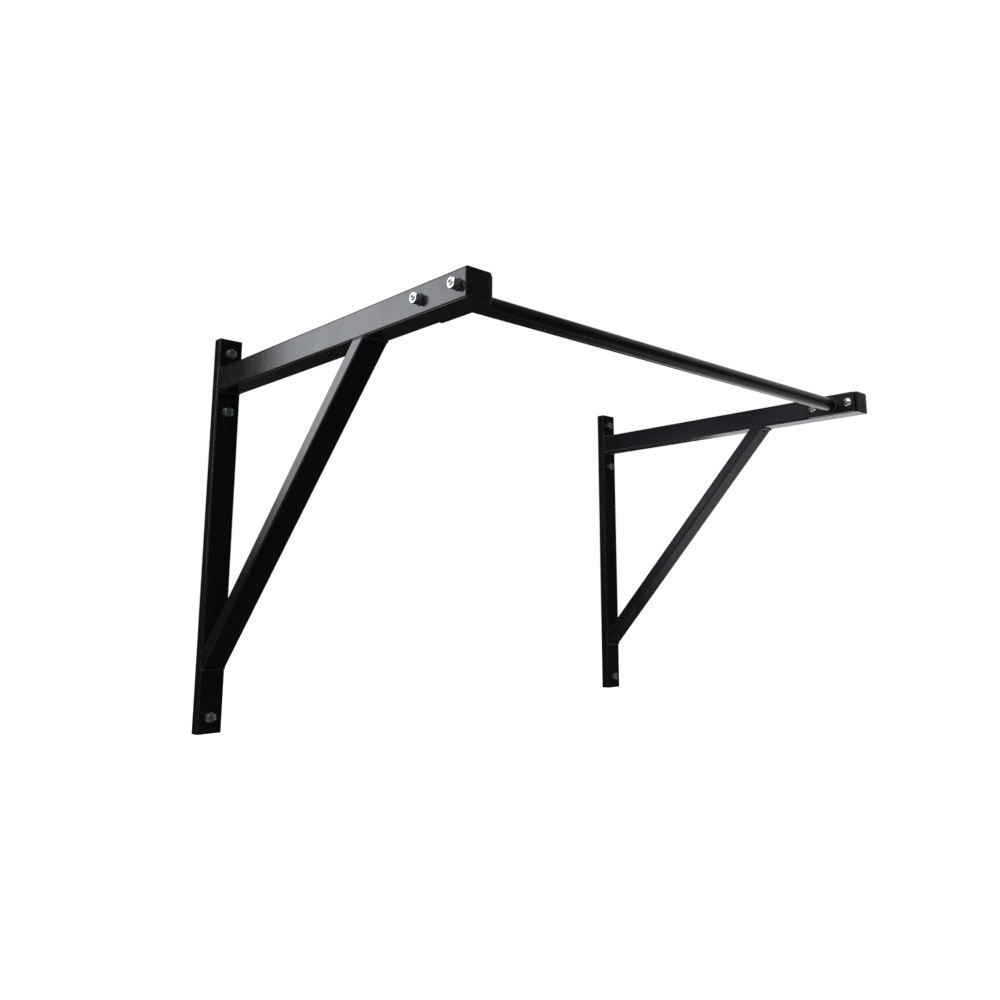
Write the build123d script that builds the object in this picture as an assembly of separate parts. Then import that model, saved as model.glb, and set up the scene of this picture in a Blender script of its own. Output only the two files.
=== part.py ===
"""Wall-mounted pull-up bar: two welded triangular brackets and a bolted cross bar.

Millimetres, +Z up. X runs along the bar, the wall is the plane Y = 0 and the arms
reach out towards -Y. The origin is the centre of the four outer wall bolts.
"""
import os
from math import asin, atan2, cos, sin, tan

from build123d import *

# Overall layout
BRACKET_SPACING = 1200.0
WALL_BOLT_SPAN = 740.0
MIDDLE_BOLT_DROP = 125.0
UPRIGHT_LENGTH = 800.0
ARM_LENGTH = 816.0
ARM_HEIGHT = 311.0
BAR_REACH = 775.0
BRACE_FOOT_HEIGHT = -261.0
BRACE_TOP_REACH = 557.5

# Steel tube stock: width, depth, wall, outside corner radius
UPRIGHT_STOCK = (50.0, 25.0, 2.5, 3.0)
ARM_STOCK = (50.0, 50.0, 3.0, 4.0)
BRACE_STOCK = (50.0, 25.0, 2.5, 3.0)
BAR_DIAMETER = 32.0
BAR_WALL = 3.0

# Bar flanges
FLANGE_LENGTH = 125.0
FLANGE_HEIGHT = 48.0
FLANGE_THICKNESS = 6.0
FLANGE_CORNER = 4.0
FLANGE_EDGE_BREAK = 0.8
FLANGE_BOLT_SPACING = 93.0

# M10 hardware
THREAD_RADIUS = 5.0
HOLE_RADIUS = 5.5
WASHER_RADIUS = 10.5
WASHER_THICKNESS = 2.0
WASHER_EDGE_BREAK = 0.35
SPRING_WASHER_RADIUS = 9.0
SPRING_WASHER_THICKNESS = 2.2
HEX_ACROSS_FLATS = 17.0
NUT_HEIGHT = 8.0
WALL_HEAD_HEIGHT = 7.0
WALL_BOLT_LENGTH = 40.0
BOLT_END_CHAMFER = 1.0
DOME_RADIUS = 10.5
DOME_HEIGHT = 5.5
NECK_SIZE = 10.0
CARRIAGE_LENGTH = 70.0

# Plastic caps
CAP_RIM = 2.0
CAP_EDGE_RADIUS = 0.8
CAP_PLUG_DEPTH = 12.0
CAP_WALL = 2.0
CAP_CLEARANCE = 0.6
CAP_RIB_HEIGHT = 0.5

# Welds
WELD_SIZE = 4.0
WELD_SIDE_PROUD = 0.5
BAR_WELD_SIZE = 4.0
VENT_RADIUS = 3.0
VENT_FROM_JOINT = 10.0

UPRIGHT_FRONT = -UPRIGHT_STOCK[1]
ARM_END = UPRIGHT_FRONT - ARM_LENGTH
ARM_UNDERSIDE = ARM_HEIGHT - ARM_STOCK[1] / 2
WALL_BOLTS = {
    "top": WALL_BOLT_SPAN / 2,
    "middle": WALL_BOLT_SPAN / 2 - MIDDLE_BOLT_DROP,
    "bottom": -WALL_BOLT_SPAN / 2,
}
FLANGE_BOLTS = {
    "rear": -BAR_REACH + FLANGE_BOLT_SPACING / 2,
    "front": -BAR_REACH - FLANGE_BOLT_SPACING / 2,
}
SIDES = {"left": -1, "right": 1}
BRACE_ANGLE = atan2(ARM_UNDERSIDE - BRACE_FOOT_HEIGHT, BRACE_TOP_REACH + UPRIGHT_FRONT)


def centre_x(side):
    return side * BRACKET_SPACING / 2


def prism(origin, direction, width, depth, corner, length):
    """Solid bar with a rounded rectangular section; width always lies along X."""
    plane = Plane(origin=origin, x_dir=(1, 0, 0), z_dir=direction)
    return extrude(plane * RectangleRounded(width, depth, corner), amount=length)


def hollow(origin, direction, stock, length):
    """Rectangular steel tube."""
    width, depth, wall, corner = stock
    outer = prism(origin, direction, width, depth, corner, length)
    bore = prism(origin, direction, width - 2 * wall, depth - 2 * wall, corner - wall + 0.5, length)
    return outer - bore


def rod(origin, direction, radius, length):
    plane = Plane(origin=origin, z_dir=direction)
    return extrude(plane * Circle(radius), amount=length)


def ring(origin, direction, outer, inner, length):
    plane = Plane(origin=origin, z_dir=direction)
    return extrude(plane * (Circle(outer) - Circle(inner)), amount=length)


def hexagon(origin, direction, across_flats, length):
    """Hexagonal prism with the chamfered corners of a nut on its far end."""
    plane = Plane(origin=origin, z_dir=direction)
    body = extrude(plane * RegularPolygon(across_flats / 2, 6, major_radius=False), amount=length)
    side = Vector(*direction)
    start = Vector(*origin)
    tip = Plane(origin=start + side * length, z_dir=-side)
    limit = Solid.make_cone(across_flats * 0.475, across_flats * 0.475 + length * 1.73, length, tip)
    return body & limit


def dome(origin, direction, radius, height):
    """Mushroom head: a spherical cap standing on its flat side."""
    curve = (radius ** 2 + height ** 2) / (2 * height)
    half = asin(radius / curve) / 2
    middle = (curve * sin(half), 0, height - curve + curve * cos(half))
    outline = Line((0, 0, 0), (radius, 0, 0))
    outline += ThreePointArc((radius, 0, 0), middle, (0, 0, height))
    outline += Line((0, 0, height), (0, 0, 0))
    cap = revolve(make_face(outline), axis=Axis.Z)
    return Plane(origin=origin, z_dir=direction).location * cap


def brace_direction():
    return (0.0, -cos(BRACE_ANGLE), sin(BRACE_ANGLE))


def brace_body(side, hollow_tube):
    """Brace stock run past both ends, then mitred to the upright and the arm."""
    _, dy, dz = brace_direction()
    over = 60.0
    start = (centre_x(side), UPRIGHT_FRONT - over * dy, BRACE_FOOT_HEIGHT - over * dz)
    run = (ARM_UNDERSIDE - BRACE_FOOT_HEIGHT) / dz + 2 * over
    width, depth, _, corner = BRACE_STOCK
    if hollow_tube:
        body = hollow(start, brace_direction(), BRACE_STOCK, run)
    else:
        body = prism(start, brace_direction(), width, depth, corner, run)
    room = Box(200, 900, 900, align=(Align.CENTER, Align.MAX, Align.MAX))
    return body & (Pos(centre_x(side), UPRIGHT_FRONT, ARM_UNDERSIDE) * room)


def make_upright(side):
    origin = (centre_x(side), UPRIGHT_FRONT / 2, -UPRIGHT_LENGTH / 2)
    body = hollow(origin, (0, 0, 1), UPRIGHT_STOCK, UPRIGHT_LENGTH)
    for height in WALL_BOLTS.values():
        body -= rod((centre_x(side), 5, height), (0, -1, 0), HOLE_RADIUS, 40)
    return body


def make_arm(side):
    origin = (centre_x(side), UPRIGHT_FRONT, ARM_HEIGHT)
    body = hollow(origin, (0, -1, 0), ARM_STOCK, ARM_LENGTH)
    for reach in FLANGE_BOLTS.values():
        body -= rod((centre_x(side) - 40, reach, ARM_HEIGHT), (1, 0, 0), HOLE_RADIUS, 80)
    return body


def make_brace(side):
    """Mitred tube with a small vent hole in its lower face, just below the arm."""
    body = brace_body(side, True)
    _, dy, dz = brace_direction()
    joint = (ARM_UNDERSIDE - BRACE_FOOT_HEIGHT) / dz + BRACE_STOCK[1] / 2 / tan(BRACE_ANGLE)
    along = joint - VENT_FROM_JOINT
    point = (centre_x(side), UPRIGHT_FRONT + along * dy, BRACE_FOOT_HEIGHT + along * dz)
    return body - rod(point, (0, -dz, dy), VENT_RADIUS, 30)


def far_edges(shape, origin, direction):
    """Edges of the face that lies furthest along the direction."""
    side = Vector(*direction)
    start = Vector(*origin)
    reach = max((face.center() - start).dot(side) for face in shape.faces())
    faces = [f for f in shape.faces() if (f.center() - start).dot(side) > reach - 0.01]
    return [edge for face in faces for edge in face.edges()]


def make_cap(origin, direction, stock):
    """Plug with a rim that covers the tube's end; direction points out of the tube."""
    width, depth, wall, corner = stock
    side = Vector(*direction)
    start = Vector(*origin)
    rim = prism(origin, direction, width, depth, corner, CAP_RIM)
    rim = fillet(far_edges(rim, origin, direction), CAP_EDGE_RADIUS)
    inner_width = width - 2 * wall - 2 * CAP_CLEARANCE
    inner_depth = depth - 2 * wall - 2 * CAP_CLEARANCE
    root = start - side * CAP_PLUG_DEPTH
    plug = prism(root, direction, inner_width, inner_depth, 1.5, CAP_PLUG_DEPTH)
    cavity_width = inner_width - 2 * CAP_WALL
    cavity_depth = inner_depth - 2 * CAP_WALL
    plug -= prism(root, direction, cavity_width, cavity_depth, 1.0, CAP_PLUG_DEPTH)
    cap = rim + plug
    rib_width = inner_width + 2 * CAP_RIB_HEIGHT
    rib_depth = inner_depth + 2 * CAP_RIB_HEIGHT
    for step in (3.0, 6.5, 10.0):
        foot = start - side * step
        rib = prism(foot, direction, rib_width, rib_depth, 1.5, 1.0)
        rib -= prism(foot, direction, cavity_width, cavity_depth, 1.0, 1.0)
        cap += rib
    return cap


def weld_loop(corners, radius):
    """Round bead run through the corner points and back to the first."""
    bead = None
    for start, end in zip(corners, corners[1:] + corners[:1]):
        a = Vector(*start)
        b = Vector(*end)
        piece = rod(a, (b - a).normalized(), radius, (b - a).length) + Pos(a) * Sphere(radius)
        bead = piece if bead is None else bead + piece
    return bead


def upright_solid(side):
    width, depth, _, corner = UPRIGHT_STOCK
    origin = (centre_x(side), UPRIGHT_FRONT / 2, -UPRIGHT_LENGTH / 2)
    return prism(origin, (0, 0, 1), width, depth, corner, UPRIGHT_LENGTH)


def arm_solid(side):
    width, depth, _, corner = ARM_STOCK
    origin = (centre_x(side), UPRIGHT_FRONT, ARM_HEIGHT)
    return prism(origin, (0, -1, 0), width, depth, corner, ARM_LENGTH)


def make_arm_weld(side):
    half = ARM_STOCK[0] / 2 + WELD_SIDE_PROUD - WELD_SIZE
    corners = []
    for dx, dz in ((-1, -1), (1, -1), (1, 1), (-1, 1)):
        rise = ARM_STOCK[1] / 2 * dz
        corners.append((centre_x(side) + dx * half, UPRIGHT_FRONT, ARM_HEIGHT + rise))
    return weld_loop(corners, WELD_SIZE) - upright_solid(side) - arm_solid(side)


def make_foot_weld(side):
    half = BRACE_STOCK[0] / 2 + WELD_SIDE_PROUD - WELD_SIZE
    rise = BRACE_STOCK[1] / 2 / cos(BRACE_ANGLE)
    corners = []
    for dx, dz in ((-1, -1), (1, -1), (1, 1), (-1, 1)):
        height = BRACE_FOOT_HEIGHT + dz * rise
        corners.append((centre_x(side) + dx * half, UPRIGHT_FRONT, height))
    return weld_loop(corners, WELD_SIZE) - upright_solid(side) - brace_body(side, False)


def make_top_weld(side):
    half = BRACE_STOCK[0] / 2 + WELD_SIDE_PROUD - WELD_SIZE
    run = BRACE_STOCK[1] / 2 / sin(BRACE_ANGLE)
    corners = []
    for dx, dy in ((-1, -1), (1, -1), (1, 1), (-1, 1)):
        reach = -BRACE_TOP_REACH + dy * run
        corners.append((centre_x(side) + dx * half, reach, ARM_UNDERSIDE))
    return weld_loop(corners, WELD_SIZE) - arm_solid(side) - brace_body(side, False)


def make_wall_bolt(side, height):
    """Hex-head bolt; its shank runs from the head through the wall plane."""
    head_base = UPRIGHT_FRONT - WASHER_THICKNESS
    reach = WALL_BOLT_LENGTH + head_base
    x = centre_x(side)
    head = hexagon((x, head_base, height), (0, -1, 0), HEX_ACROSS_FLATS, WALL_HEAD_HEIGHT)
    neck = rod((x, head_base, height), (0, 1, 0), THREAD_RADIUS - 0.1, -head_base)
    body = rod((x, 0, height), (0, 1, 0), THREAD_RADIUS, reach - BOLT_END_CHAMFER)
    tip_plane = Plane(origin=(x, reach - BOLT_END_CHAMFER, height), z_dir=(0, 1, 0))
    tip_radius = THREAD_RADIUS - BOLT_END_CHAMFER
    tip = Solid.make_cone(THREAD_RADIUS, tip_radius, BOLT_END_CHAMFER, tip_plane)
    return head + neck + body + tip


def washer(origin, direction, bore):
    """Stamped washer with its outer far edge broken."""
    blank = ring(origin, direction, WASHER_RADIUS, bore, WASHER_THICKNESS)
    outer = [e for e in far_edges(blank, origin, direction) if e.length > 6 * bore + 4]
    return chamfer(outer, WASHER_EDGE_BREAK)


def make_wall_washer(side, height):
    origin = (centre_x(side), UPRIGHT_FRONT, height)
    return washer(origin, (0, -1, 0), HOLE_RADIUS)


def make_bar():
    length = BRACKET_SPACING - ARM_STOCK[0] - 2 * FLANGE_THICKNESS
    origin = (-length / 2, -BAR_REACH, ARM_HEIGHT)
    radius = BAR_DIAMETER / 2
    return ring(origin, (1, 0, 0), radius, radius - BAR_WALL, length)


def inner_face(side):
    """X of the arm face that looks at the other bracket."""
    return side * (BRACKET_SPACING - ARM_STOCK[0]) / 2


def on_bolt_hole(edge):
    centre = edge.center()
    near_bolt = min(abs(centre.Y - reach) for reach in FLANGE_BOLTS.values())
    return near_bolt < NECK_SIZE and abs(centre.Z - ARM_HEIGHT) < NECK_SIZE


def make_flange(side):
    """Plate with two square holes for the bolt necks."""
    plane = Plane(
        origin=(inner_face(side), -BAR_REACH, ARM_HEIGHT), x_dir=(0, 1, 0), z_dir=(-side, 0, 0)
    )
    shape = RectangleRounded(FLANGE_LENGTH, FLANGE_HEIGHT, FLANGE_CORNER)
    for offset in (-FLANGE_BOLT_SPACING / 2, FLANGE_BOLT_SPACING / 2):
        shape -= Pos(offset, 0) * Rectangle(NECK_SIZE + 0.6, NECK_SIZE + 0.6)
    plate = extrude(plane * shape, amount=FLANGE_THICKNESS)
    rim = [e for e in far_edges(plate, plane.origin, plane.z_dir) if not on_bolt_hole(e)]
    return chamfer(rim, FLANGE_EDGE_BREAK)


def make_bar_weld(side):
    """Fillet ring where the bar meets its flange."""
    x = inner_face(side) - side * FLANGE_THICKNESS
    plane = Plane(origin=(x, -BAR_REACH, ARM_HEIGHT), z_dir=(-side, 0, 0))
    radius = BAR_DIAMETER / 2
    cone = Solid.make_cone(radius + BAR_WELD_SIZE, radius, BAR_WELD_SIZE, plane)
    return cone - rod((x, -BAR_REACH, ARM_HEIGHT), (-side, 0, 0), radius, BAR_WELD_SIZE)


def make_carriage_bolt(side, reach):
    """Mushroom head on the flange, square neck in it, thread out through the arm."""
    x = inner_face(side) - side * FLANGE_THICKNESS
    origin = (x, reach, ARM_HEIGHT)
    head = dome(origin, (-side, 0, 0), DOME_RADIUS, DOME_HEIGHT)
    neck_plane = Plane(origin=origin, x_dir=(0, 1, 0), z_dir=(side, 0, 0))
    neck_length = FLANGE_THICKNESS - 0.5
    neck = extrude(neck_plane * Rectangle(NECK_SIZE, NECK_SIZE), amount=neck_length)
    shank_start = (x + side * neck_length, reach, ARM_HEIGHT)
    shank = rod(shank_start, (side, 0, 0), THREAD_RADIUS, CARRIAGE_LENGTH - neck_length)
    return head + neck + shank


def outer_face(side):
    return side * (BRACKET_SPACING + ARM_STOCK[0]) / 2


def make_flange_washer(side, reach):
    origin = (outer_face(side), reach, ARM_HEIGHT)
    return washer(origin, (side, 0, 0), HOLE_RADIUS - 0.25)


def make_spring_washer(side, reach):
    """Split ring with a slanting gap."""
    x = outer_face(side) + side * WASHER_THICKNESS
    origin = (x, reach, ARM_HEIGHT)
    body = ring(origin, (side, 0, 0), SPRING_WASHER_RADIUS, HOLE_RADIUS - 0.25, SPRING_WASHER_THICKNESS)
    gap = Pos(x, reach, ARM_HEIGHT + 7.5) * Rot(0, 0, 35) * Box(12, 1.2, 6)
    return body - gap


def make_nut(side, reach):
    x = outer_face(side) + side * (WASHER_THICKNESS + SPRING_WASHER_THICKNESS)
    origin = (x, reach, ARM_HEIGHT)
    body = hexagon(origin, (side, 0, 0), HEX_ACROSS_FLATS, NUT_HEIGHT)
    return body - rod(origin, (side, 0, 0), THREAD_RADIUS + 0.1, NUT_HEIGHT + 1)


def bracket_parts(name, side):
    x = centre_x(side)
    mid = UPRIGHT_FRONT / 2
    end = UPRIGHT_LENGTH / 2
    parts = {
        "upright": make_upright(side),
        "arm": make_arm(side),
        "brace": make_brace(side),
        "upright_top_cap": make_cap((x, mid, end), (0, 0, 1), UPRIGHT_STOCK),
        "upright_bottom_cap": make_cap((x, mid, -end), (0, 0, -1), UPRIGHT_STOCK),
        "arm_front_cap": make_cap((x, ARM_END, ARM_HEIGHT), (0, -1, 0), ARM_STOCK),
        "arm_weld": make_arm_weld(side),
        "brace_top_weld": make_top_weld(side),
        "brace_foot_weld": make_foot_weld(side),
        "bar_flange": make_flange(side),
        "bar_weld": make_bar_weld(side),
    }
    for place, height in WALL_BOLTS.items():
        parts[f"{place}_wall_bolt"] = make_wall_bolt(side, height)
        parts[f"{place}_wall_washer"] = make_wall_washer(side, height)
    for place, reach in FLANGE_BOLTS.items():
        parts[f"{place}_flange_bolt"] = make_carriage_bolt(side, reach)
        parts[f"{place}_flange_washer"] = make_flange_washer(side, reach)
        parts[f"{place}_spring_washer"] = make_spring_washer(side, reach)
        parts[f"{place}_flange_nut"] = make_nut(side, reach)
    return {f"{name}_{part}": shape for part, shape in parts.items()}


os.makedirs("parts", exist_ok=True)
nodes = {"pull_up_bar": make_bar()}
for side_name, side_sign in SIDES.items():
    nodes.update(bracket_parts(side_name, side_sign))
for node, shape in nodes.items():
    export_step(shape, f"parts/{node}.step")
    print(node, len(shape.solids()), round(shape.volume, 1), shape.is_valid)
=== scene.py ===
"""Looks of a wall-mounted pull-up bar: black powder-coated brackets and bar, plated fasteners.

Metres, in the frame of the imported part: X along the bar, the wall at Y = 0, Z up.
"""
import math

import bmesh
import bpy
from mathutils import Matrix, Vector


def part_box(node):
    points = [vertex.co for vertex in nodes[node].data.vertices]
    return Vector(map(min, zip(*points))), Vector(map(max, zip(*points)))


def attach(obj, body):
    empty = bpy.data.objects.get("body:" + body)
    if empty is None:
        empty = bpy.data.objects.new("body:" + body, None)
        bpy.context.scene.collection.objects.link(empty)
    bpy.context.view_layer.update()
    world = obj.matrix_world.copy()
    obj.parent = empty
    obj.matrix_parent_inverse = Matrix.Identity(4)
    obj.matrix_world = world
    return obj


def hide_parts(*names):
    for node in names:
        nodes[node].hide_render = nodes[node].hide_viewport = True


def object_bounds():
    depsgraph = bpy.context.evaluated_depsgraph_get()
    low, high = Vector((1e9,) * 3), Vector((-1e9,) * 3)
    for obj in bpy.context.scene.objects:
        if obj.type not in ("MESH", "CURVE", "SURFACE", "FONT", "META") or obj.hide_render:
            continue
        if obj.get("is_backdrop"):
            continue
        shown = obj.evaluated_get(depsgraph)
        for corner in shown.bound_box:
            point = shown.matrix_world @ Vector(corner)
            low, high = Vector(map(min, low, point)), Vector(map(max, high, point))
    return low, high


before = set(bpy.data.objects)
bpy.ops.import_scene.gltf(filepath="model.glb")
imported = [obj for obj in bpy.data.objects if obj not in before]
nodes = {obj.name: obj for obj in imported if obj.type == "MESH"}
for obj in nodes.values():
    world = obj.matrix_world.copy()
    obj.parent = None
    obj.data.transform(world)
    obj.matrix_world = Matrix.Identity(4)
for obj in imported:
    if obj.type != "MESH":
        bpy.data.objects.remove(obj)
cad_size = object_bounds()


# ---------------------------------------------------------------------------
# Uprights, arms and braces. Each bracket is three lengths of square and flat
# rectangular tube, welded up and then powder coated black in one go: a semi-gloss
# coat with a fine orange peel, slow changes of gloss and a few specks of dust.
# ---------------------------------------------------------------------------
class Link:
    """An output socket that takes part in Python arithmetic by adding Math nodes."""

    def __init__(self, graph, socket):
        self.graph = graph
        self.socket = socket

    def out(self, name):
        return Link(self.graph, self.socket.node.outputs[name])

    def maths(self, operation, *others):
        return self.graph.add("ShaderNodeMath", {"operation": operation}, self, *others)

    def __add__(self, other):
        return self.maths("ADD", other)

    def __sub__(self, other):
        return self.maths("SUBTRACT", other)

    def __rsub__(self, other):
        return self.graph.add("ShaderNodeMath", {"operation": "SUBTRACT"}, other, self)

    def __mul__(self, other):
        return self.maths("MULTIPLY", other)

    def __truediv__(self, other):
        return self.maths("DIVIDE", other)


class Graph:
    """A node tree that is filled one node at a time."""

    def __init__(self, tree):
        self.tree = tree

    def add(self, kind, settings, *values, **named):
        """Adds a node: its settings first, then its inputs in order, then by name."""
        node = self.tree.nodes.new(kind)
        for key, value in settings.items():
            setattr(node, key, value)
        for index, value in enumerate(values):
            self.feed(node.inputs[index], value)
        for name, value in named.items():
            self.feed(node.inputs[name.replace("_", " ")], value)
        outputs = [socket for socket in node.outputs if socket.enabled]
        return Link(self, outputs[0]) if outputs else node

    def feed(self, socket, value):
        if isinstance(value, Link):
            self.tree.links.new(value.socket, socket)
        else:
            socket.default_value = value

    def mix(self, factor, first, second):
        """Two colours mixed by a factor."""
        node = self.tree.nodes.new("ShaderNodeMix")
        node.data_type = "RGBA"
        self.feed(node.inputs["Factor"], factor)
        colours = [socket for socket in node.inputs if socket.type == "RGBA"]
        self.feed(colours[0], first)
        self.feed(colours[1], second)
        return Link(self, next(socket for socket in node.outputs if socket.type == "RGBA"))

    def noise(self, scale, detail=2.0, rough=0.5, stretch=None):
        place = self.add("ShaderNodeTexCoord", {}).out("Object")
        if stretch:
            place = self.add("ShaderNodeVectorMath", {"operation": "MULTIPLY"}, place, stretch)
        return self.add("ShaderNodeTexNoise", {}, Vector=place, Scale=scale, Detail=detail, Roughness=rough)

    def remap(self, value, low, high, to_low, to_high):
        return self.add("ShaderNodeMapRange", {"clamp": True}, value, low, high, to_low, to_high)


def finish_of(name, build):
    """A material whose Principled shader is fed by what build(graph) returns."""
    material = bpy.data.materials.new(name)
    material.use_nodes = True
    material.node_tree.nodes.clear()
    graph = Graph(material.node_tree)
    shader = graph.add("ShaderNodeBsdfPrincipled", {}, **build(graph))
    graph.add("ShaderNodeOutputMaterial", {}, Surface=shader)
    return material


def coat_nodes(material, *names):
    """Gives CAD nodes this material in place of their own."""
    for name in names:
        slots = nodes[name].data.materials
        slots.clear()
        slots.append(material)


SIDES = ("left", "right")
COAT_BLACK = (0.0062, 0.0064, 0.0074, 1)
COAT_DUST = (0.020, 0.0205, 0.022, 1)


def powder_coat(peel_height, gloss_low, gloss_high):
    """Semi-gloss black with orange peel of this height and roughness between these two."""

    def build(graph):
        clouds = graph.noise(14.0, 4.0, 0.6)
        patches = graph.noise(70.0, 3.0)
        peel = graph.noise(480.0, 2.0)
        grit = graph.noise(1900.0, 1.0)
        specks = graph.remap(graph.noise(620.0, 0.0), 0.82, 0.86, 0.0, 1.0)
        gloss = graph.remap(clouds * 0.7 + patches * 0.3, 0.36, 0.66, gloss_low, gloss_high)
        height = peel * 0.8 + grit * 0.2 + specks * 0.4
        bump = graph.add("ShaderNodeBump", {}, Strength=1.0, Distance=peel_height, Height=height)
        return {
            "Base_Color": graph.mix(specks, COAT_BLACK, COAT_DUST),
            "Roughness": gloss + specks * 0.2,
            "IOR": 1.5,
            "Normal": bump,
        }

    return build


tube_coat = finish_of("black_powder_coat", powder_coat(0.000022, 0.155, 0.23))
for side in SIDES:
    coat_nodes(tube_coat, f"{side}_upright", f"{side}_arm", f"{side}_brace")


# ---------------------------------------------------------------------------
# Weld beads of the brackets. Laid by hand round each joint in overlapping
# ripples and coated with the tubes. A round bead is swept along its seam and
# the ripples pushed out of it: a fillet in the crotches, a low rib at the sides.
# ---------------------------------------------------------------------------
BEAD_RADIUS = 0.004
BEAD_SIDE_PROUD = 0.0005
BEAD_CORNER = 0.0035
RIPPLE_PITCH = 0.0019
RIPPLE_HEIGHT = 0.0003
SEAM_STEP = 0.0004
SIDE_PHASE = 0.0003
JOINT_PHASE = 0.0005


def new_shape(name, *sizes):
    """A Geometry Nodes tree with these named sizes as its inputs."""
    tree = bpy.data.node_groups.new(name, "GeometryNodeTree")
    tree.interface.new_socket("Geometry", in_out="OUTPUT", socket_type="NodeSocketGeometry")
    for size in sizes:
        tree.interface.new_socket(size, in_out="INPUT", socket_type="NodeSocketFloat")
    given = tree.nodes.new("NodeGroupInput")
    graph = Graph(tree)
    return graph, {size: Link(graph, given.outputs[size]) for size in sizes}


def end_shape(graph, shape, material, sharp=0.6):
    """Ends a tree: smooth faces, creases at sharp edges, real geometry, its material."""
    smooth = graph.add("GeometryNodeSetShadeSmooth", {"domain": "FACE"}, shape, Shade_Smooth=True)
    crease = graph.add("GeometryNodeInputMeshEdgeAngle", {}).maths("GREATER_THAN", sharp)
    edged = graph.add(
        "GeometryNodeSetShadeSmooth", {"domain": "EDGE"}, smooth, Selection=crease, Shade_Smooth=False
    )
    real = graph.add("GeometryNodeRealizeInstances", {}, edged)
    coated = graph.add("GeometryNodeSetMaterial", {}, real, Material=material)
    graph.feed(graph.tree.nodes.new("NodeGroupOutput").inputs[0], coated)


def grow(graph, sizes):
    """Runs a geometry tree with these sizes and returns its result as a plain mesh."""
    name = graph.tree.name
    seed = bpy.data.objects.new(name, bpy.data.meshes.new(name))
    bpy.context.scene.collection.objects.link(seed)
    modifier = seed.modifiers.new("grow", "NODES")
    modifier.node_group = graph.tree
    for item in graph.tree.interface.items_tree:
        if item.in_out == "INPUT":
            modifier[item.identifier] = float(sizes[item.name])
    bpy.context.view_layer.update()
    ready = seed.evaluated_get(bpy.context.evaluated_depsgraph_get())
    mesh = bpy.data.meshes.new_from_object(ready)
    seed.modifiers.clear()
    bpy.data.objects.remove(seed)
    return mesh


def piece(node, kind, mesh):
    """One finished piece of the object that stands for its CAD node."""
    made = bpy.data.objects.new(f"{node}_{kind}", mesh)
    mesh.name = made.name
    bpy.context.scene.collection.objects.link(made)
    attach(made, "root")
    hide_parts(node)
    return made


def weld_bead():
    """A bead along a rectangular or round seam, with its ripples."""
    sizes = ("Seam width", "Seam height", "Seam corner", "Bead radius", "Ripple phase")
    graph, given = new_shape("weld_bead", *sizes)
    seam = graph.add(
        "GeometryNodeCurvePrimitiveQuadrilateral",
        {"mode": "RECTANGLE"},
        Width=given["Seam width"],
        Height=given["Seam height"],
    )
    rounded = graph.add(
        "GeometryNodeFilletCurve", {"mode": "POLY"}, seam, Count=24, Radius=given["Seam corner"]
    )
    even = graph.add("GeometryNodeResampleCurve", {"mode": "LENGTH"}, rounded, Length=SEAM_STEP)
    marked = []
    section = graph.add(
        "GeometryNodeCurvePrimitiveCircle", {"mode": "RADIUS"}, Resolution=20, Radius=given["Bead radius"]
    )
    for curve, label, measure in ((even, "along", "Length"), (section, "turn", "Factor")):
        value = graph.add("GeometryNodeSplineParameter", {}).out(measure)
        store = {"data_type": "FLOAT", "domain": "POINT"}
        marked.append(
            graph.add("GeometryNodeStoreNamedAttribute", store, curve, Name=label, Value=value)
        )
    bead = graph.add("GeometryNodeCurveToMesh", {}, *marked)
    along = graph.add("GeometryNodeInputNamedAttribute", {"data_type": "FLOAT"}, Name="along")
    turn = graph.add("GeometryNodeInputNamedAttribute", {"data_type": "FLOAT"}, Name="turn")
    curl = (turn * (4 * math.pi)).maths("COSINE") * (0.35 * RIPPLE_PITCH)
    wander = graph.add("ShaderNodeTexNoise", {}, Scale=160.0, Detail=2.0)
    beat = ((along + curl + given["Ripple phase"]) / RIPPLE_PITCH + wander * 0.9).maths("FRACT")
    crest = (beat * math.pi).maths("SINE").maths("POWER", 0.7)
    lift = (crest - 0.6) * RIPPLE_HEIGHT + (wander - 0.5) * 0.0007
    normal = graph.add("GeometryNodeInputNormal", {})
    offset = graph.add("ShaderNodeVectorMath", {"operation": "SCALE"}, normal, Scale=lift)
    rippled = graph.add("GeometryNodeSetPosition", {}, bead, Offset=offset)
    end_shape(graph, rippled, weld_coat, 3.2)
    return graph


weld_coat = finish_of("coated_weld", powder_coat(0.000030, 0.22, 0.30))
bead = weld_bead()


def weld(node, seam, corner, radius, phase, place, turned):
    """A bead round a seam of this width and height, moved and turned to its joint."""
    sizes = {
        "Seam width": seam[0],
        "Seam height": seam[1],
        "Seam corner": corner,
        "Bead radius": radius,
        "Ripple phase": phase,
    }
    mesh = grow(bead, sizes)
    mesh.transform(Matrix.Translation(place) @ turned)
    piece(node, "bead", mesh)


FACING_WALL = Matrix.Rotation(math.radians(90), 4, "X")
for order, side in enumerate(SIDES):
    arm_low, arm_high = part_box(f"{side}_arm")
    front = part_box(f"{side}_upright")[0].y
    seam_width = arm_high.x - arm_low.x + 2 * (BEAD_SIDE_PROUD - BEAD_RADIUS)
    for step, joint in enumerate(("arm_weld", "brace_foot_weld", "brace_top_weld")):
        low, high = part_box(f"{side}_{joint}")
        middle = (low + high) / 2
        flat = joint == "brace_top_weld"
        span = (high.y - low.y if flat else high.z - low.z) - 2 * BEAD_RADIUS
        place = Vector((middle.x, middle.y, arm_low.z)) if flat else Vector((middle.x, front, middle.z))
        turned = Matrix.Identity(4) if flat else FACING_WALL
        phase = SIDE_PHASE * order + JOINT_PHASE * step
        weld(f"{side}_{joint}", (seam_width, span), BEAD_CORNER, BEAD_RADIUS, phase, place, turned)


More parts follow.
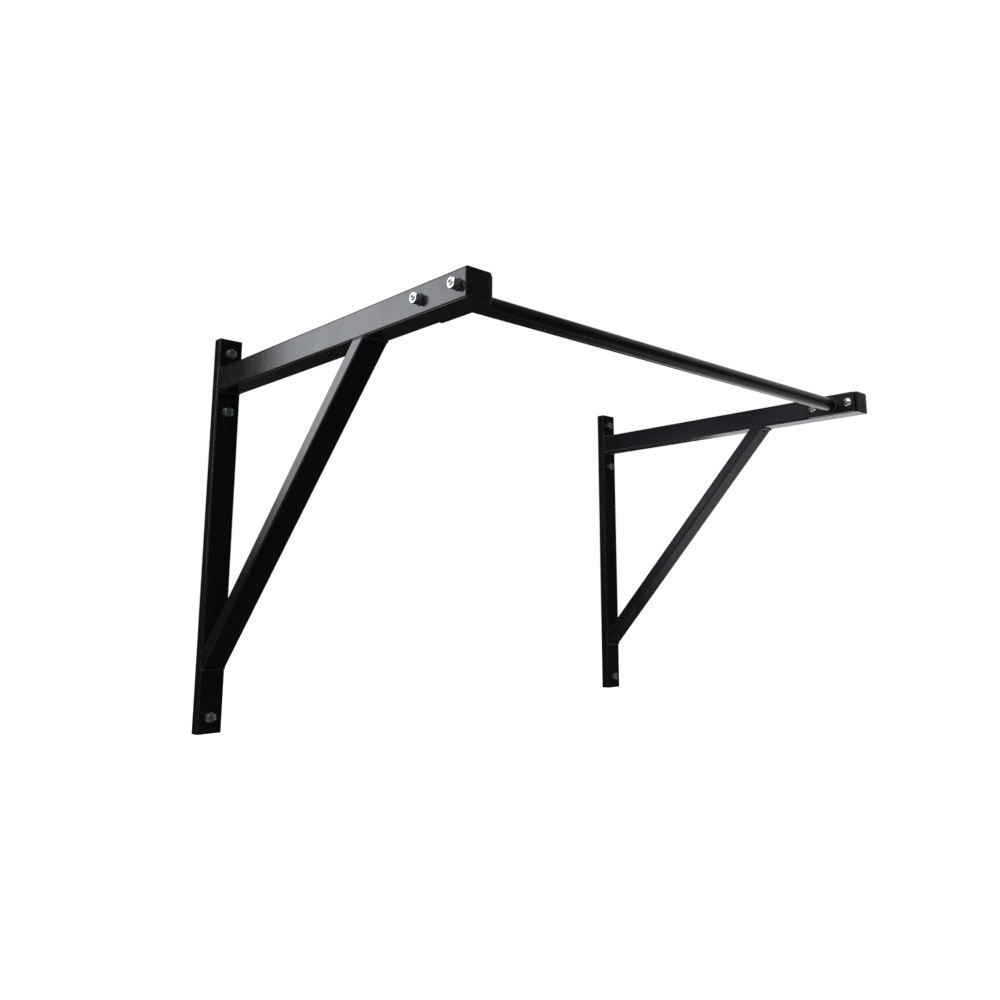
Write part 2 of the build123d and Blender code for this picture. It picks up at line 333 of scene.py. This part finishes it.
# ---------------------------------------------------------------------------
# Bar and its flange plates. Round tube welded square on to a plate at each end,
# which bolts to the inner face of an arm, and coated black like the brackets.
# The grip is smooth: a slightly finer orange peel and a duller gloss all along.
# ---------------------------------------------------------------------------
BAR_BEAD_RADIUS = 0.004
SEAM_FLAT = 0.0001

bar_coat = finish_of("black_powder_coat_bar", powder_coat(0.000016, 0.24, 0.30))
coat_nodes(bar_coat, "pull_up_bar", "left_bar_flange", "right_bar_flange")

bar_low, bar_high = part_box("pull_up_bar")
bar_middle = (bar_low + bar_high) / 2
bar_wide = bar_high.z - bar_low.z
for side, end in zip(SIDES, (bar_low.x, bar_high.x)):
    place = Vector((end, bar_middle.y, bar_middle.z))
    turned = Matrix.Rotation(math.radians(90), 4, "Y")
    nearly_round = bar_wide / 2 - SEAM_FLAT
    weld(f"{side}_bar_weld", (bar_wide, bar_wide), nearly_round, BAR_BEAD_RADIUS, 0.0, place, turned)


# ---------------------------------------------------------------------------
# End plugs of the uprights and arms. Moulded in black polythene with a spark
# eroded texture: a crowned head with rounded edges and a skirt with three lips
# that grip the inside of the tube, where it is driven with a mallet.
# ---------------------------------------------------------------------------
PLUG_BLACK = (0.0060, 0.0060, 0.0064, 1)
PLUG_SCUFF = (0.016, 0.016, 0.017, 1)
PLUG_CROWN = (
    (0.0100, 0.00200), (0.0070, 0.00197), (0.0040, 0.00188), (0.0022, 0.00176), (0.0012, 0.00162),
    (0.0006, 0.00142), (0.0002, 0.00112), (0.0, 0.00075), (0.0, 0.00035), (0.0001, 0.0),
)
PLUG_SKIRT = (
    (0.0004, 0.0), (0.0004, -0.0012), (0.0000, -0.0020), (0.0003, -0.0030), (0.0006, -0.0042),
    (0.0000, -0.0050), (0.0003, -0.0060), (0.0006, -0.0074), (0.0001, -0.0082), (0.0005, -0.0094),
    (0.0010, -0.0118), (0.0014, -0.0120), (0.0026, -0.0120), (0.0028, -0.0116), (0.0026, -0.0014),
)
CORNER_STEPS = 6
LEAST_CORNER = 0.0003
UPRIGHT_CORNER = 0.003
UPRIGHT_WALL = 0.0025
ARM_CORNER = 0.004
ARM_WALL = 0.003


def moulded_plastic(graph):
    """Black polythene with the mould's fine texture and a few scuffs."""
    texture = graph.noise(2600.0, 2.0)
    flow = graph.noise(60.0, 3.0)
    scuffs = graph.remap(graph.noise(480.0, 5.0, 0.7), 0.64, 0.74, 0.0, 1.0)
    bump = graph.add("ShaderNodeBump", {}, Strength=1.0, Distance=0.00003, Height=texture)
    return {
        "Base_Color": graph.mix(scuffs, PLUG_BLACK, PLUG_SCUFF),
        "Roughness": graph.remap(flow, 0.35, 0.65, 0.34, 0.44) + scuffs * 0.08,
        "IOR": 1.5,
        "Normal": bump,
    }


def outline(wide, deep, corner, height):
    """Points round a rectangle with round corners, at one height."""
    points = []
    for across, along, start in ((1, 1, 0), (-1, 1, 90), (-1, -1, 180), (1, -1, 270)):
        for step in range(CORNER_STEPS + 1):
            angle = math.radians(start + 90 * step / CORNER_STEPS)
            x = across * (wide / 2 - corner) + corner * math.cos(angle)
            y = along * (deep / 2 - corner) + corner * math.sin(angle)
            points.append((x, y, height))
    return points


def plug(node, wide, deep, corner, wall, placed):
    """A plug with its rim at height 0; each ring is an inset from the tube's outline and a height."""
    rings = list(PLUG_CROWN) + [(wall + inset, height) for inset, height in PLUG_SKIRT]
    largest_inset = min(wide, deep) / 2 - 0.0005
    shell = bmesh.new()
    loops = []
    for inset, height in rings:
        inset = min(inset, largest_inset)
        round_off = max(corner - inset, LEAST_CORNER)
        points = outline(wide - 2 * inset, deep - 2 * inset, round_off, height)
        loops.append([shell.verts.new(point) for point in points])
    for upper, lower in zip(loops, loops[1:]):
        for k in range(len(upper)):
            after = (k + 1) % len(upper)
            shell.faces.new((upper[k], lower[k], lower[after], upper[after]))
    shell.faces.new(loops[0])
    shell.faces.new(reversed(loops[-1]))
    bmesh.ops.recalc_face_normals(shell, faces=shell.faces)
    mesh = bpy.data.meshes.new(node)
    shell.to_mesh(mesh)
    shell.free()
    mesh.materials.append(plug_plastic)
    mesh.shade_smooth()
    mesh.set_sharp_from_angle(angle=math.radians(40))
    mesh.transform(placed)
    piece(node, "plug", mesh)


plug_plastic = finish_of("black_plastic_cap", moulded_plastic)
for side in SIDES:
    low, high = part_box(f"{side}_upright")
    middle = (low + high) / 2
    wide = high.x - low.x
    deep = high.y - low.y
    above = Matrix.Translation((middle.x, middle.y, high.z))
    below = Matrix.Translation((middle.x, middle.y, low.z)) @ Matrix.Rotation(math.pi, 4, "X")
    plug(f"{side}_upright_top_cap", wide, deep, UPRIGHT_CORNER, UPRIGHT_WALL, above)
    plug(f"{side}_upright_bottom_cap", wide, deep, UPRIGHT_CORNER, UPRIGHT_WALL, below)
    low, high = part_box(f"{side}_arm")
    middle = (low + high) / 2
    ahead = Matrix.Translation((middle.x, low.y, middle.z)) @ Matrix.Rotation(math.radians(90), 4, "X")
    wide = high.x - low.x
    deep = high.z - low.z
    plug(f"{side}_arm_front_cap", wide, deep, ARM_CORNER, ARM_WALL, ahead)


# ---------------------------------------------------------------------------
# Wall bolts. M10 hexagon head bolts, cold forged with a rolled thread and zinc
# plated. The whole bolt is one surface turned from tip to head: the radius at
# each height and angle comes from the thread, the hexagon and its chamfers.
# ---------------------------------------------------------------------------
THREAD_PITCH = 0.0015
THREAD_DEPTH = 0.00085
SHANK_RADIUS = 0.005
WALL_THREAD_LENGTH = 0.026
ZINC = (0.36, 0.395, 0.39, 1)
ZINC_DULL = (0.22, 0.24, 0.24, 1)


def plated(bright, dull, smooth, rough):
    """Plated steel that is stained in places and a little uneven in its shine."""

    def build(graph):
        clouds = graph.noise(260.0, 4.0, 0.6)
        handling = graph.noise(1500.0, 3.0, 0.6, (1.0, 0.25, 1.0))
        stains = graph.remap(graph.noise(420.0, 5.0, 0.7), 0.52, 0.70, 0.0, 0.6)
        bump = graph.add("ShaderNodeBump", {}, Strength=1.0, Distance=0.000012, Height=handling)
        return {
            "Base_Color": graph.mix(stains, bright, dull),
            "Metallic": 1.0,
            "Roughness": graph.remap(clouds, 0.35, 0.65, smooth, rough) + stains * 0.15,
            "Normal": bump,
        }

    return build


def turned_shape(name, columns, rows, rule, material, *sizes):
    """A surface turned about Z: rule gives radius and height at each angle and step."""
    graph, given = new_shape(name, *sizes)
    sheet = graph.add("GeometryNodeMeshGrid", {}, 1.0, 1.0, columns + 1, rows + 1)
    flat = graph.add("ShaderNodeSeparateXYZ", {}, graph.add("GeometryNodeInputPosition", {}))
    angle = (flat.out("X") + 0.5) * (2 * math.pi)
    radius, height = rule(graph, given, angle, flat.out("Y") + 0.5)
    x = radius * angle.maths("COSINE")
    y = radius * angle.maths("SINE")
    place = graph.add("ShaderNodeCombineXYZ", {}, x, y, height)
    wound = graph.add("GeometryNodeSetPosition", {}, sheet, Position=place)
    closed = graph.add("GeometryNodeMergeByDistance", {}, wound, Distance=0.000002)
    end_shape(graph, closed, material, 0.5)
    return graph


def stage(step, low, high):
    """0 before low, 1 after high and a straight rise between."""
    return step.graph.remap(step, low, high, 0.0, 1.0)


def threaded(angle, height, crest, full):
    """Radius of a rolled right-hand thread; full is 0 on the plain shank."""
    phase = (height / THREAD_PITCH - angle / (2 * math.pi)).maths("FRACT")
    tooth = stage((phase - 0.5).maths("ABSOLUTE"), 0.06, 0.44)
    return crest - (1 - tooth) * full * THREAD_DEPTH


def hexagon(angle, across_flats):
    """Radius of a hexagon with a corner at angle 0."""
    sixth = math.pi / 3
    return (across_flats / 2) / (angle.maths("FLOORED_MODULO", sixth) - sixth / 2).maths("COSINE")


def hex_bolt_rule(graph, given, angle, step):
    head = given["Head height"]
    height = stage(step, 0.04, 0.62) * given["Thread length"]
    height = height + stage(step, 0.62, 0.66) * (given["Length"] - given["Thread length"])
    height = height + stage(step, 0.72, 0.93) * head - given["Length"]
    full = stage(given["Thread length"] - given["Length"] - height, 0.0, 0.0012)
    tip = given["Shank radius"] - THREAD_DEPTH * 0.9 + (height + given["Length"])
    shank = threaded(angle, height, given["Shank radius"], full).maths("MINIMUM", tip)
    forged = hexagon(angle, given["Across flats"])
    chamfer = given["Across flats"] * 0.475 + (head - height) * 1.7
    washer_face = given["Across flats"] * 0.475 + (height - 0.0004).maths("MAXIMUM", 0.0) * 5.0
    side = forged.maths("MINIMUM", chamfer).maths("MINIMUM", washer_face)
    radius = shank + (side - shank) * stage(step, 0.66, 0.72)
    dish = stage(step, 0.945, 0.96) * 0.00035
    return radius * stage(step, 0.0, 0.04) * (1 - stage(step, 0.93, 1.0)), height - dish


zinc_bolt = finish_of("zinc_wall_bolt", plated(ZINC, ZINC_DULL, 0.28, 0.40))
POINTING_OUT = FACING_WALL @ Matrix.Rotation(math.radians(90), 4, "Z")
wall_bolt_sizes = ("Across flats", "Head height", "Shank radius", "Length", "Thread length")
wall_bolt = turned_shape("wall_bolt", 72, 220, hex_bolt_rule, zinc_bolt, *wall_bolt_sizes)
for side in SIDES:
    for spot in ("top", "middle", "bottom"):
        node = f"{side}_{spot}_wall_bolt"
        low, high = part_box(node)
        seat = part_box(f"{side}_{spot}_wall_washer")[0].y
        sizes = {
            "Across flats": high.x - low.x,
            "Head height": seat - low.y,
            "Shank radius": SHANK_RADIUS,
            "Length": high.y - seat,
            "Thread length": WALL_THREAD_LENGTH,
        }
        mesh = grow(wall_bolt, sizes)
        middle = (low + high) / 2
        mesh.transform(Matrix.Translation((middle.x, seat, middle.z)) @ POINTING_OUT)
        piece(node, "forged", mesh)


# ---------------------------------------------------------------------------
# Flat washers, under the wall bolts' heads and the flange nuts. Stamped from
# strip, tumbled and zinc plated, so their edges are soft and their faces have
# the fine marks of tumbling. Their zinc is painted much darker than the bolts'
# and nuts' as painted shade, for the shadow they sit in under heads and nuts.
# ---------------------------------------------------------------------------
# Zinc painted dark as painted shade: the shadow round and under the nuts and bolt heads.
ZINC_PAINTED_SHADE = (0.150, 0.160, 0.164, 1)
ZINC_PAINTED_SHADE_DULL = (0.085, 0.090, 0.094, 1)

# Washers get the shade-darkened zinc: painted shade, not a finish of their own.
zinc_washer = finish_of("zinc_washer", plated(ZINC_PAINTED_SHADE, ZINC_PAINTED_SHADE_DULL, 0.28, 0.40))
for side in SIDES:
    for spot in ("top", "middle", "bottom"):
        coat_nodes(zinc_washer, f"{side}_{spot}_wall_washer")
    coat_nodes(zinc_washer, f"{side}_rear_flange_washer", f"{side}_front_flange_washer")


# ---------------------------------------------------------------------------
# Carriage bolts of the bar flanges. M10, bright zinc, pushed through the plate
# and the arm from inside: a plain mushroom head, a square neck that the plate's
# square hole holds from turning, and a rolled thread out through the arm.
# ---------------------------------------------------------------------------
BRIGHT = (0.78, 0.79, 0.80, 1)
BRIGHT_DULL = (0.50, 0.51, 0.52, 1)
ROLLED_CUP = 0.0022
NECK_WIDTH = 0.010
NECK_LENGTH = 0.0055
CARRIAGE_THREAD_LENGTH = 0.030


def carriage_bolt_rule(graph, given, angle, step):
    height = stage(step, 0.03, 0.62) * given["Thread length"]
    plain = given["Length"] - given["Neck length"] - given["Thread length"]
    height = height + stage(step, 0.62, 0.65) * plain
    height = height + stage(step, 0.68, 0.72) * given["Neck length"] - given["Length"]
    full = stage(given["Thread length"] - given["Length"] - height, 0.0, 0.0012)
    tip = given["Shank radius"] - THREAD_DEPTH * 0.9 + (height + given["Length"])
    shank = threaded(angle, height, given["Shank radius"], full).maths("MINIMUM", tip)
    across = angle.maths("COSINE").maths("ABSOLUTE")
    flat = across.maths("MAXIMUM", angle.maths("SINE").maths("ABSOLUTE"))
    neck = (given["Neck width"] / 2 / flat).maths("MINIMUM", given["Neck width"] * 0.66)
    rise = stage(step, 0.79, 1.0) * (math.pi / 2)
    rim = given["Head height"] * 0.12
    mushroom = given["Head radius"] * rise.maths("COSINE")
    radius = shank + (neck - shank) * stage(step, 0.65, 0.68)
    radius = radius + (mushroom - radius) * stage(step, 0.72, 0.77)
    height = height + stage(step, 0.77, 0.79) * rim + rise.maths("SINE") * (given["Head height"] - rim)
    opened = stage(step, 0.0, 0.03)
    return radius * opened, height + (1 - opened) * ROLLED_CUP


bright_bolt = finish_of("bright_bolt", plated(BRIGHT, BRIGHT_DULL, 0.20, 0.30))
carriage_sizes = (
    "Head radius", "Head height", "Neck width", "Neck length", "Shank radius", "Length", "Thread length"
)
carriage_bolt = turned_shape("carriage_bolt", 72, 260, carriage_bolt_rule, bright_bolt, *carriage_sizes)
POINTING_IN = {
    "left": Matrix.Rotation(math.radians(90), 4, "Y"),
    "right": Matrix.Rotation(math.radians(-90), 4, "Y"),
}
bolt_places = {}
for side in SIDES:
    low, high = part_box(f"{side}_bar_flange")
    plate_face = high.x if side == "left" else low.x
    for spot in ("rear", "front"):
        node = f"{side}_{spot}_flange_bolt"
        low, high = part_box(node)
        outer, inner = (low.x, high.x) if side == "left" else (high.x, low.x)
        sizes = {
            "Head radius": (high.z - low.z) / 2,
            "Head height": abs(inner - plate_face),
            "Neck width": NECK_WIDTH,
            "Neck length": NECK_LENGTH,
            "Shank radius": SHANK_RADIUS,
            "Length": abs(outer - plate_face),
            "Thread length": CARRIAGE_THREAD_LENGTH,
        }
        middle = (low + high) / 2
        placed = Matrix.Translation((plate_face, middle.y, middle.z)) @ POINTING_IN[side]
        bolt_places[side, spot] = placed
        mesh = grow(carriage_bolt, sizes)
        mesh.transform(placed)
        piece(node, "forged", mesh)


# ---------------------------------------------------------------------------
# Spring washers under the flange nuts. One turn of rectangular spring steel wire,
# coiled and cut, so that the ends at the split stand off and bite;
# plated like the flat washers after hardening, and a little rougher, with the
# same zinc darkened as painted shade for the shadow under the nuts.
# ---------------------------------------------------------------------------
SPLIT_TURN = 0.955
SPLIT_RISE = 0.00035
COIL_BORE_RADIUS = 0.00525


def spring_washer_shape():
    graph, given = new_shape("spring_washer", "Outer radius", "Bore radius", "Thickness", "Start")
    wire = given["Outer radius"] - given["Bore radius"]
    coil_radius = given["Bore radius"] + wire / 2
    spiral = graph.add(
        "GeometryNodeCurveSpiral", {}, 64, SPLIT_TURN, coil_radius, coil_radius, SPLIT_RISE, True
    )
    lift = given["Start"] + (given["Thickness"] - SPLIT_RISE) / 2
    lifted = graph.add("ShaderNodeCombineXYZ", {}, 0.0, 0.0, lift)
    coil = graph.add("GeometryNodeSetPosition", {}, spiral, Offset=lifted)
    upright = graph.add("GeometryNodeSetCurveNormal", {"mode": "Z_UP"}, coil)
    bar_section = graph.add(
        "GeometryNodeCurvePrimitiveQuadrilateral",
        {"mode": "RECTANGLE"},
        Width=wire,
        Height=given["Thickness"] - SPLIT_RISE,
    )
    eased = graph.add("GeometryNodeFilletCurve", {"mode": "POLY"}, bar_section, Count=3, Radius=0.0003)
    ring = graph.add("GeometryNodeCurveToMesh", {}, upright, eased)
    graph.feed(ring.socket.node.inputs["Fill Caps"], True)
    end_shape(graph, ring, spring_steel, 0.7)
    return graph


# Same shade-darkened zinc as the flat washers: painted shade under the flange nuts.
spring_steel = finish_of("spring_steel", plated(ZINC_PAINTED_SHADE, ZINC_PAINTED_SHADE_DULL, 0.32, 0.44))
spring_washer = spring_washer_shape()
for side in SIDES:
    for spot in ("rear", "front"):
        node = f"{side}_{spot}_spring_washer"
        low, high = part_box(node)
        local = bolt_places[side, spot].inverted() @ ((low + high) / 2)
        thick = high.x - low.x
        sizes = {
            "Outer radius": (high.z - low.z) / 2,
            "Bore radius": COIL_BORE_RADIUS,
            "Thickness": thick,
            "Start": local.z - thick / 2,
        }
        mesh = grow(spring_washer, sizes)
        mesh.transform(bolt_places[side, spot])
        piece(node, "coil", mesh)


# ---------------------------------------------------------------------------
# Nuts of the carriage bolts. M10 hexagon nuts, chamfered on both faces and
# tapped right through, bright zinc. Each is one surface turned round its ring,
# and its thread is in step with the bolt's, so the two mesh without touching.
# ---------------------------------------------------------------------------
TAP_CLEARANCE = 0.00006


def nut_rule(graph, given, angle, step):
    high = given["Height"]
    local = (stage(step, 0.0, 0.3) - stage(step, 0.4, 0.9)) * high
    height = given["Start"] + local
    inward = stage(step, 0.3, 0.4) - stage(step, 0.9, 1.0)
    from_face = local.maths("MINIMUM", high - local)
    chamfer = given["Across flats"] * 0.472 + from_face * 1.7
    outside = hexagon(angle, given["Across flats"]).maths("MINIMUM", chamfer)
    tapped = threaded(angle, height, given["Thread radius"] + TAP_CLEARANCE, 1.0)
    countersink = given["Thread radius"] + 0.0005 - from_face
    bore = tapped.maths("MAXIMUM", countersink)
    return outside + (bore - outside) * inward, height


bright_nut = finish_of("bright_nut", plated(BRIGHT, BRIGHT_DULL, 0.17, 0.27))
nut_sizes = ("Across flats", "Height", "Thread radius", "Start")
nut = turned_shape("flange_nut", 72, 150, nut_rule, bright_nut, *nut_sizes)
for side in SIDES:
    for spot in ("rear", "front"):
        node = f"{side}_{spot}_flange_nut"
        low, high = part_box(node)
        local = bolt_places[side, spot].inverted() @ ((low + high) / 2)
        tall = high.x - low.x
        sizes = {
            "Across flats": min(high.y - low.y, high.z - low.z),
            "Height": tall,
            "Thread radius": SHANK_RADIUS,
            "Start": local.z - tall / 2,
        }
        mesh = grow(nut, sizes)
        mesh.transform(bolt_places[side, spot])
        piece(node, "tapped", mesh)


# ---------------------------------------------------------------------------
# Studio. A pale floor below, a white surround, and soft boxes round the object,
# each where one set of its glossy faces mirrors it; the nearest is gridded. The
# rest of the room is dark, so the faces between stay black.
# ---------------------------------------------------------------------------
def white_surface(graph):
    return {"Base_Color": (1, 1, 1, 1), "Emission_Color": (1, 1, 1, 1), "Emission_Strength": 1.0}


def stage_floor():
    """A pale floor that is seen but gives no light and takes no shadow."""
    size = 60.0
    height = -1.9
    corners = [(-size, -size, height), (size, -size, height), (size, size, height), (-size, size, height)]
    mesh = bpy.data.meshes.new("floor")
    mesh.from_pydata(corners, [], [(0, 1, 2, 3)])
    mesh.materials.append(finish_of("pale_floor", white_surface))
    floor = bpy.data.objects.new("floor", mesh)
    bpy.context.scene.collection.objects.link(floor)
    floor.visible_diffuse = False
    floor.visible_glossy = False
    floor.visible_shadow = False
    floor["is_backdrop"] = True


def studio_world():
    """White to look at; the light it gives is dim at eye level and soft from above and below."""
    world = bpy.data.worlds.new("studio")
    world.use_nodes = True
    world.node_tree.nodes.clear()
    graph = Graph(world.node_tree)
    place = graph.add("ShaderNodeTexCoord", {}).out("Generated")
    steep = graph.add("ShaderNodeSeparateXYZ", {}, place).out("Z")
    glow = graph.remap(steep, 0.78, 0.97, 0.026, 0.8) + graph.remap(steep, -0.97, -0.995, 0.0, 0.5)
    dim = graph.add("ShaderNodeBackground", {}, (1, 1, 1, 1), glow)
    bright = graph.add("ShaderNodeBackground", {}, (1, 1, 1, 1), 1.0)
    seen = graph.add("ShaderNodeLightPath", {}).out("Is Camera Ray")
    both = graph.add("ShaderNodeMixShader", {}, seen, dim, bright)
    graph.add("ShaderNodeOutputWorld", {}, Surface=both)
    bpy.context.scene.world = world


def soft_box(name, place, target, width, height, glow, grid=180, tint=(1, 1, 1)):
    """A soft box at place facing target; a grid narrows its light to so many degrees."""
    light = bpy.data.lights.new(name, "AREA")
    light.shape = "RECTANGLE"
    light.size = width
    light.size_y = height
    light.spread = math.radians(grid)
    light.energy = glow * math.pi * width * height
    light.color = tint
    lamp = bpy.data.objects.new(name, light)
    lamp.location = place
    lamp.rotation_euler = (Vector(place) - Vector(target)).to_track_quat("Z", "Y").to_euler()
    lamp.visible_camera = False
    bpy.context.scene.collection.objects.link(lamp)
    return lamp


def seen_at(start, azimuth, elevation, distance):
    """The place in a direction from start; azimuth 0 is behind the wall and 90 at +X."""
    a = math.radians(azimuth)
    e = math.radians(elevation)
    away = Vector((math.sin(a) * math.cos(e), math.cos(a) * math.cos(e), math.sin(e)))
    return Vector(start) + away * distance


stage_floor()
studio_world()
RIGHT_ARM = (0.6, -0.6, 0.29)
ROOM = (0.0, -0.4, 0.1)
COOL = (0.93, 0.96, 1.0)
soft_box("left_back_box", (-1.197, 0.185, 0.45), (-0.597, -0.595, 0.20), 0.58, 1.05, 0.31, 48, COOL)
BLUISH = (0.78, 0.86, 1.0)
soft_box("far_left_box", seen_at(RIGHT_ARM, -56.5, 4.5, 12), RIGHT_ARM, 2.5, 2.1, 1.3, 180, BLUISH)
soft_box("left_room_box", seen_at(ROOM, -109, 38, 6.5), ROOM, 8.0, 4.6, 1.3, 180, COOL)
soft_box("left_low_box", seen_at(ROOM, -90, -22, 6.5), ROOM, 4.5, 2.6, 0.6, 180, COOL)
soft_box("left_floor_box", seen_at(RIGHT_ARM, -120, -45, 7), RIGHT_ARM, 4.5, 4.0, 0.8, 180, COOL)
soft_box("left_high_box", seen_at(ROOM, -84, 46, 7), ROOM, 4.5, 3.5, 1.8, 180, COOL)
soft_box("right_low_box", seen_at(RIGHT_ARM, 72, -22, 8), RIGHT_ARM, 5.2, 3.2, 2.05, 180, COOL)
soft_box("right_floor_box", seen_at(RIGHT_ARM, 108, -27, 8), RIGHT_ARM, 5.0, 4.4, 0.45, 180, COOL)
soft_box("right_middle_box", seen_at(RIGHT_ARM, 110, 2, 8), RIGHT_ARM, 3.0, 3.0, 0.3, 180, COOL)
soft_box("right_high_box", seen_at(RIGHT_ARM, 110, 27, 8), RIGHT_ARM, 3.0, 4.4, 0.6, 180, COOL)
soft_box("right_side_box", seen_at(ROOM, 72, 32, 8), ROOM, 5.5, 4.5, 0.7, 180, COOL)
soft_box("back_high_box", seen_at(RIGHT_ARM, 2, 42, 8), RIGHT_ARM, 5.0, 2.6, 1.0, 180, COOL)
soft_box("back_middle_box", seen_at(ROOM, 6, -4, 9), ROOM, 3.6, 6.0, 0.7, 180, COOL)
soft_box("back_floor_box", seen_at(RIGHT_ARM, -25, -44, 8), RIGHT_ARM, 3.4, 3.6, 1.6)
soft_box("front_left_box", seen_at(ROOM, -160, 14, 8), ROOM, 3.6, 7.0, 0.6)
soft_box("front_low_box", seen_at(ROOM, -168, -26, 8), ROOM, 5.0, 3.4, 0.9)

CAMERA_PLACE = Vector((-1.4123, -1.8164, -0.1464))
HEADING = math.radians(45.2)
PITCH = math.radians(10.4)
ROLL = math.radians(-0.6)
LENS = 32.25
SHIFT = (-0.0609, -0.066)


def camera_turn():
    level = math.cos(PITCH)
    forward = Vector((math.sin(HEADING) * level, math.cos(HEADING) * level, math.sin(PITCH)))
    right = Vector((math.cos(HEADING), -math.sin(HEADING), 0))
    up = right.cross(forward)
    tilted = right * math.cos(ROLL) + up * math.sin(ROLL)
    return Matrix((tilted, tilted.cross(forward), -forward)).transposed().to_4x4()


camera = bpy.data.objects.new("camera", bpy.data.cameras.new("camera"))
camera.data.sensor_width = 36
camera.data.lens = LENS
camera.data.shift_x, camera.data.shift_y = SHIFT
camera.data.clip_end = 200
camera.matrix_world = Matrix.Translation(CAMERA_PLACE) @ camera_turn()
bpy.context.scene.collection.objects.link(camera)
bpy.context.scene.camera = camera
bpy.context.scene.view_settings.view_transform = "Standard"

sizes = {"cad": [list(corner) for corner in cad_size]}
sizes["visual"] = [list(corner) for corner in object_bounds()]
